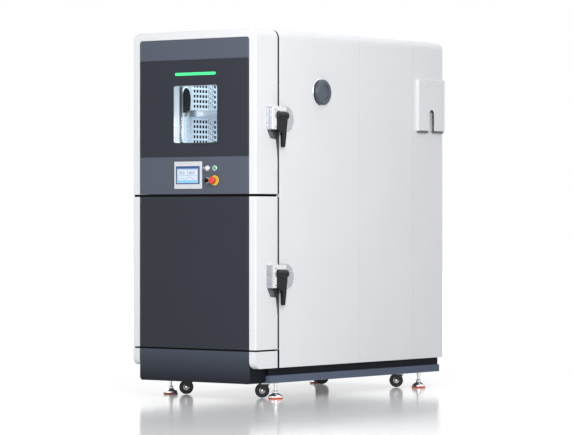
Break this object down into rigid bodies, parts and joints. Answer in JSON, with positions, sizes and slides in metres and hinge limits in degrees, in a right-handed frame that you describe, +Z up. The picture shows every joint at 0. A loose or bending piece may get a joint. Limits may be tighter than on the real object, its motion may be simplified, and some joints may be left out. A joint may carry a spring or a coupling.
{
  "type": "environmental test chamber",
  "caption": "Tall two-compartment climate test chamber with a windowed upper door, touch screen, side latches, cable port, castors and levelling feet.",
  "frame": {"origin": "on the floor, at the middle of the cabinet's width and depth", "axes": "+X to the right seen from the front, +Y to the back, +Z up"},
  "size_m": [0.946, 1.811, 2],
  "materials": {
    "base_frame": "dark satin powder coat",
    "base_front_cover": "dark satin powder coat",
    "base_side_trims": "satin powder coat",
    "chamber_cover": "satin powder coat",
    "machine_cover_middle": "satin powder coat",
    "machine_cover_rear": "satin powder coat",
    "rear_panel": "satin powder coat",
    "insulation": "foam and fibre fill",
    "workroom_liners": "brushed stainless",
    "duct_plates": "brushed stainless",
    "shelf_rails": "brushed stainless",
    "fan_motors": "machine grey paint",
    "air_coils": "finned",
    "refrigeration_unit": "black paint",
    "electrics_box": "machine grey paint",
    "latch_strikes": "bright plated",
    "cabinet_hinge_leaves": "bright plated",
    "port_sleeve": "brushed stainless",
    "side_pocket": "satin powder coat",
    "upper_door_frame": "satin powder coat",
    "upper_door_panel": "dark satin powder coat",
    "upper_door_liner": "brushed stainless",
    "upper_door_gasket": "silicone",
    "window_frame": "bright sleeve",
    "window_glass": "clear",
    "status_light": "lit green diffuser",
    "hmi_housing": "silver white",
    "hmi_screen": "lit display",
    "switch_collars": "bright plated",
    "upper_latch_housing": "bright plated",
    "upper_hinge_leaves": "bright plated",
    "lower_door_frame": "satin powder coat",
    "lower_door_panel": "dark satin powder coat",
    "lower_door_liner": "brushed stainless",
    "lower_door_gasket": "silicone",
    "lower_latch_housing": "bright plated",
    "lower_hinge_leaves": "bright plated",
    "upper_latch_lever": "fine moulded grain",
    "lower_latch_lever": "fine moulded grain",
    "start_button": "green",
    "key_switch": "bright plated",
    "selector_knob": "fine moulded grain",
    "emergency_stop": "red",
    "upper_fan": "sheet",
    "lower_fan": "sheet",
    "upper_shelf": "brushed stainless",
    "lower_shelf": "brushed stainless",
    "port_plug": "dark silicone",
    "front_left_castor_fork": "bright plated",
    "front_left_castor_wheel": "hard tread",
    "front_left_foot": "bright plated",
    "front_right_castor_fork": "bright plated",
    "front_right_castor_wheel": "hard tread",
    "front_right_foot": "bright plated",
    "rear_left_castor_fork": "bright plated",
    "rear_left_castor_wheel": "hard tread",
    "rear_left_foot": "bright plated",
    "rear_right_castor_fork": "bright plated",
    "rear_right_castor_wheel": "hard tread",
    "rear_right_foot": "bright plated"
  },
  "bodies": {
    "cabinet": {"base_frame": "base_frame", "base_front_cover": "base_front_cover", "base_side_trims": "base_side_trims", "chamber_cover": "chamber_cover", "machine_cover_middle": "machine_cover_middle", "machine_cover_rear": "machine_cover_rear", "rear_panel": "rear_panel", "insulation": "insulation", "workroom_liners": "workroom_liners", "duct_plates": "duct_plates", "shelf_rails": "shelf_rails", "fan_motors": "fan_motors", "air_coils": "air_coils", "refrigeration_unit": "refrigeration_unit", "electrics_box": "electrics_box", "latch_strikes": "latch_strikes", "cabinet_hinge_leaves": "cabinet_hinge_leaves", "port_sleeve": "port_sleeve", "side_pocket": "side_pocket"},
    "upper_door": {"upper_door_frame": "upper_door_frame", "upper_door_panel": "upper_door_panel", "upper_door_liner": "upper_door_liner", "upper_door_gasket": "upper_door_gasket", "window_frame": "window_frame", "window_glass": "window_glass", "status_light": "status_light", "hmi_housing": "hmi_housing", "hmi_screen": "hmi_screen", "switch_collars": "switch_collars", "upper_latch_housing": "upper_latch_housing", "upper_hinge_leaves": "upper_hinge_leaves"},
    "lower_door": {"lower_door_frame": "lower_door_frame", "lower_door_panel": "lower_door_panel", "lower_door_liner": "lower_door_liner", "lower_door_gasket": "lower_door_gasket", "lower_latch_housing": "lower_latch_housing", "lower_hinge_leaves": "lower_hinge_leaves"},
    "upper_latch_lever": {"upper_latch_lever": "upper_latch_lever"},
    "lower_latch_lever": {"lower_latch_lever": "lower_latch_lever"},
    "start_button": {"start_button": "start_button"},
    "key_switch": {"key_switch": "key_switch"},
    "selector_knob": {"selector_knob": "selector_knob"},
    "emergency_stop": {"emergency_stop": "emergency_stop"},
    "upper_fan": {"upper_fan": "upper_fan"},
    "lower_fan": {"lower_fan": "lower_fan"},
    "upper_shelf": {"upper_shelf": "upper_shelf"},
    "lower_shelf": {"lower_shelf": "lower_shelf"},
    "port_plug": {"port_plug": "port_plug"},
    "front_left_castor_fork": {"front_left_castor_fork": "front_left_castor_fork"},
    "front_left_castor_wheel": {"front_left_castor_wheel": "front_left_castor_wheel"},
    "front_left_foot": {"front_left_foot": "front_left_foot"},
    "front_right_castor_fork": {"front_right_castor_fork": "front_right_castor_fork"},
    "front_right_castor_wheel": {"front_right_castor_wheel": "front_right_castor_wheel"},
    "front_right_foot": {"front_right_foot": "front_right_foot"},
    "rear_left_castor_fork": {"rear_left_castor_fork": "rear_left_castor_fork"},
    "rear_left_castor_wheel": {"rear_left_castor_wheel": "rear_left_castor_wheel"},
    "rear_left_foot": {"rear_left_foot": "rear_left_foot"},
    "rear_right_castor_fork": {"rear_right_castor_fork": "rear_right_castor_fork"},
    "rear_right_castor_wheel": {"rear_right_castor_wheel": "rear_right_castor_wheel"},
    "rear_right_foot": {"rear_right_foot": "rear_right_foot"}
  },
  "joints": [
    {"name": "upper_door_swing", "type": "hinge", "parent": "cabinet", "child": "upper_door", "pos_m": [-0.452, -0.682, 1.556], "axis": [0, 0, -1], "range_deg": [0, 120]},
    {"name": "lower_door_swing", "type": "hinge", "parent": "cabinet", "child": "lower_door", "pos_m": [-0.452, -0.682, 0.686], "axis": [0, 0, -1], "range_deg": [0, 120]},
    {"name": "upper_latch_pull", "type": "hinge", "parent": "upper_door", "child": "upper_latch_lever", "pos_m": [0.459, -0.745, 1.534], "axis": [0, -1, 0], "range_deg": [0, 70]},
    {"name": "lower_latch_pull", "type": "hinge", "parent": "lower_door", "child": "lower_latch_lever", "pos_m": [0.459, -0.745, 0.681], "axis": [0, -1, 0], "range_deg": [0, 70]},
    {"name": "start_button_press", "type": "slide", "parent": "upper_door", "child": "start_button", "axis": [0, 1, 0], "range_m": [0, 0.004], "stiffness_N_per_m": 300},
    {"name": "emergency_stop_press", "type": "slide", "parent": "upper_door", "child": "emergency_stop", "axis": [0, 1, 0], "range_m": [0, 0.006], "stiffness_N_per_m": 400},
    {"name": "key_switch_turn", "type": "hinge", "parent": "upper_door", "child": "key_switch", "pos_m": [0.098, -0.88, 1.252], "axis": [0, 1, 0], "range_deg": [0, 90]},
    {"name": "selector_turn", "type": "hinge", "parent": "upper_door", "child": "selector_knob", "pos_m": [0.098, -0.88, 1.186], "axis": [0, 1, 0], "range_deg": [0, 90]},
    {"name": "upper_fan_spin", "type": "hinge", "parent": "cabinet", "child": "upper_fan", "pos_m": [0, 0, 1.64], "axis": [0, 1, 0], "continuous": true},
    {"name": "lower_fan_spin", "type": "hinge", "parent": "cabinet", "child": "lower_fan", "pos_m": [0, 0, 0.78], "axis": [0, 1, 0], "continuous": true},
    {"name": "upper_shelf_slide", "type": "slide", "parent": "cabinet", "child": "upper_shelf", "axis": [0, -1, 0], "range_m": [0, 0.04]},
    {"name": "lower_shelf_slide", "type": "slide", "parent": "cabinet", "child": "lower_shelf", "axis": [0, -1, 0], "range_m": [0, 0.04]},
    {"name": "port_plug_pull", "type": "slide", "parent": "cabinet", "child": "port_plug", "axis": [1, 0, 0], "range_m": [0, 0.09]},
    {"name": "front_left_castor_swivel", "type": "hinge", "parent": "cabinet", "child": "front_left_castor_fork", "pos_m": [-0.268, -0.585, 0.089], "axis": [0, 0, 1], "continuous": true},
    {"name": "front_left_wheel_spin", "type": "hinge", "parent": "front_left_castor_fork", "child": "front_left_castor_wheel", "pos_m": [-0.28385, -0.5972, 0.0415], "axis": [-0.6101, 0.7923, 0], "continuous": true},
    {"name": "front_left_foot_screw", "type": "hinge", "parent": "cabinet", "child": "front_left_foot", "pos_m": [-0.37, -0.63, 0.05], "axis": [0, 0, 1], "continuous": true},
    {"name": "front_right_castor_swivel", "type": "hinge", "parent": "cabinet", "child": "front_right_castor_fork", "pos_m": [0.268, -0.585, 0.089], "axis": [0, 0, 1], "continuous": true},
    {"name": "front_right_wheel_spin", "type": "hinge", "parent": "front_right_castor_fork", "child": "front_right_castor_wheel", "pos_m": [0.25215, -0.5972, 0.0415], "axis": [-0.6101, 0.7923, 0], "continuous": true},
    {"name": "front_right_foot_screw", "type": "hinge", "parent": "cabinet", "child": "front_right_foot", "pos_m": [0.37, -0.63, 0.05], "axis": [0, 0, 1], "continuous": true},
    {"name": "rear_left_castor_swivel", "type": "hinge", "parent": "cabinet", "child": "rear_left_castor_fork", "pos_m": [-0.268, 0.675, 0.089], "axis": [0, 0, 1], "continuous": true},
    {"name": "rear_left_wheel_spin", "type": "hinge", "parent": "rear_left_castor_fork", "child": "rear_left_castor_wheel", "pos_m": [-0.28385, 0.6628, 0.0415], "axis": [-0.6101, 0.7923, 0], "continuous": true},
    {"name": "rear_left_foot_screw", "type": "hinge", "parent": "cabinet", "child": "rear_left_foot", "pos_m": [-0.37, 0.72, 0.05], "axis": [0, 0, 1], "continuous": true},
    {"name": "rear_right_castor_swivel", "type": "hinge", "parent": "cabinet", "child": "rear_right_castor_fork", "pos_m": [0.268, 0.675, 0.089], "axis": [0, 0, 1], "continuous": true},
    {"name": "rear_right_wheel_spin", "type": "hinge", "parent": "rear_right_castor_fork", "child": "rear_right_castor_wheel", "pos_m": [0.25215, 0.6628, 0.0415], "axis": [-0.6101, 0.7923, 0], "continuous": true},
    {"name": "rear_right_foot_screw", "type": "hinge", "parent": "cabinet", "child": "rear_right_foot", "pos_m": [0.37, 0.72, 0.05], "axis": [0, 0, 1], "continuous": true}
  ]
}
